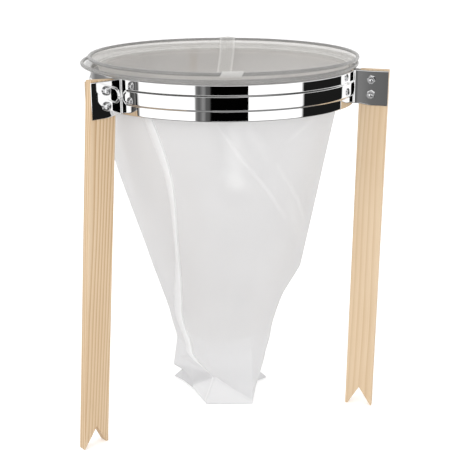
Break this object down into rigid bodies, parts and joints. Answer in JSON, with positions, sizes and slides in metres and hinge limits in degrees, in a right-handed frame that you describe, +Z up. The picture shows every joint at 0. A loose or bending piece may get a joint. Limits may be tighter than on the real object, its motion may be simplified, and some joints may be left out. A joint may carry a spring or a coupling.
{
  "type": "double sieve strainer",
  "caption": "Double honey sieve: a coarse nylon bag inside a fine one, each on a wire hoop, hung in a steel band ring that is clamped to notched wooden legs.",
  "frame": {"origin": "on the ring's axis, in the plane that the feet stand on", "axes": "+Z up along the ring's axis; +X to the right and +Y away from a viewer who has the left and right legs in front"},
  "size_m": [0.3087, 0.3044, 0.3746],
  "materials": {
    "polished_steel": "mirror-polished stainless sheet",
    "fastener_steel": "bright zinc-plated steel",
    "pine": "planed untreated pine",
    "hoop_wire": "drawn steel wire",
    "hem_cloth": "folded and stitched nylon mesh",
    "fine_mesh": "fine white nylon mesh, see-through",
    "coarse_mesh": "coarse white nylon mesh, see-through"
  },
  "bodies": {
    "frame": {"band_front": "polished_steel", "band_right": "polished_steel", "band_left": "polished_steel", "leg_left": "pine", "leg_right": "pine", "leg_back": "pine", "screw_left_upper": "fastener_steel", "nut_left_upper": "fastener_steel", "screw_left_lower": "fastener_steel", "nut_left_lower": "fastener_steel", "screw_right_upper": "fastener_steel", "nut_right_upper": "fastener_steel", "screw_right_lower": "fastener_steel", "nut_right_lower": "fastener_steel", "screw_back_upper": "fastener_steel", "nut_back_upper": "fastener_steel", "screw_back_lower": "fastener_steel", "nut_back_lower": "fastener_steel"},
    "outer_sieve": {"outer_hoop": "hoop_wire", "outer_hem": "hem_cloth", "outer_bag_left": "fine_mesh", "outer_bag_right": "fine_mesh"},
    "inner_sieve": {"inner_hoop": "hoop_wire", "inner_hem": "hem_cloth", "inner_bag_left": "coarse_mesh", "inner_bag_right": "coarse_mesh"}
  },
  "joints": [
    {"name": "outer_lift", "type": "slide", "parent": "frame", "child": "outer_sieve", "axis": [0, 0, 1], "range_m": [0, 0.4]},
    {"name": "inner_lift", "type": "slide", "parent": "outer_sieve", "child": "inner_sieve", "axis": [0, 0, 1], "range_m": [0, 0.34]}
  ]
}
